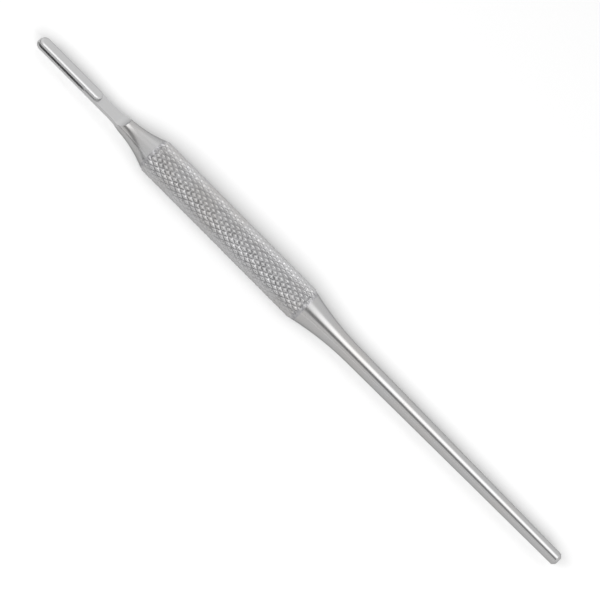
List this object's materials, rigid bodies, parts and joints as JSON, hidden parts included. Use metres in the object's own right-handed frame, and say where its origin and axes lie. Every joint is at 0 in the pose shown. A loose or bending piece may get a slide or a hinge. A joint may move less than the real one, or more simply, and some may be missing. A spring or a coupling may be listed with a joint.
{
  "type": "scalpel handle",
  "caption": "Round one-piece scalpel handle: slim tapered tail, knurled grip, flared neck and a thin plate with a grooved boss that a blade slides onto.",
  "frame": {"origin": "below mid-length, level with the lowest line of the grip, under the turning axis", "axes": "+X along the handle from the blade fitting to the tail, +Z out of the blade seat"},
  "size_m": [0.16, 0.0086, 0.0086],
  "materials": {
    "steel": "satin polished, with a diamond knurl on the grip"
  },
  "bodies": {
    "root": {"handle": "steel"}
  },
  "joints": []
}
